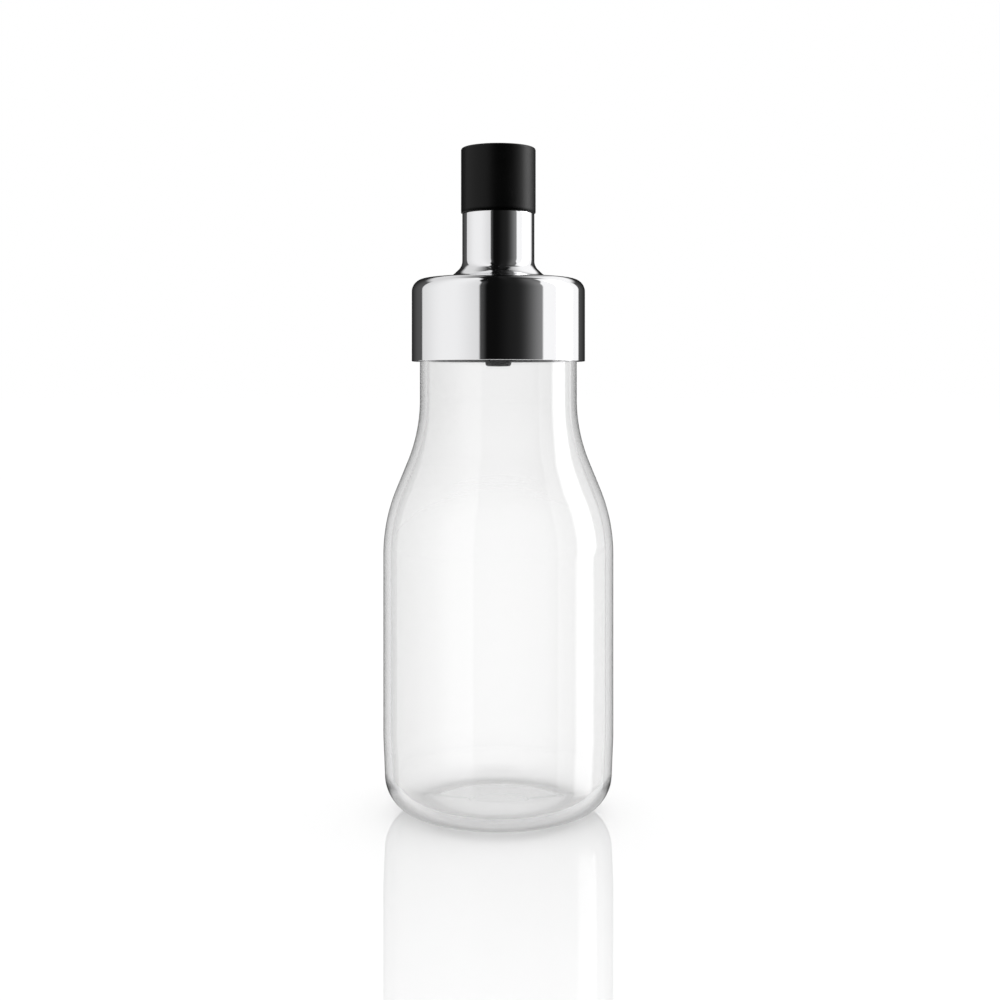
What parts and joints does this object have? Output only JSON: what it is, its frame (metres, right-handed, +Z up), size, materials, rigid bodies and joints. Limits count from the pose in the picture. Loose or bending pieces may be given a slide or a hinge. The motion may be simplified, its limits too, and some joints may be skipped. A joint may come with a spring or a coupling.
{
  "type": "salad dressing shaker bottle",
  "caption": "Glass shaker bottle with a push-in steel and plastic lid, a drip-free spout with an air tube, and a pull-off cap.",
  "frame": {"origin": "centre of the base, on the plane that the bottle stands on", "axes": "+Z up along the bottle's axis; the part is the same from all sides, so X and Y have no front"},
  "size_m": [0.07, 0.07, 0.2016],
  "materials": {
    "clear_glass": "clear, smooth blown glass",
    "polished_steel": "polished stainless steel",
    "moulded_black": "moulded black plastic",
    "satin_black": "satin black plastic",
    "gloss_black": "glossy black plastic",
    "soft_black": "soft black silicone",
    "soft_grey": "soft grey silicone"
  },
  "bodies": {
    "bottle": {"glass_bottle": "clear_glass"},
    "lid": {"lid_shell": "polished_steel", "stopper_core": "moulded_black", "neck_seal": "soft_black", "pour_spout": "moulded_black", "spout_washer": "soft_grey", "cap_ring_seal": "soft_grey", "vent_tube": "gloss_black"},
    "cap": {"cap_shell": "satin_black", "cap_plug": "soft_black"}
  },
  "joints": [
    {"name": "lid_lift", "type": "slide", "parent": "bottle", "child": "lid", "axis": [0, 0, 1], "range_m": [0, 0.04]},
    {"name": "cap_lift", "type": "slide", "parent": "lid", "child": "cap", "axis": [0, 0, 1], "range_m": [0, 0.03]}
  ]
}
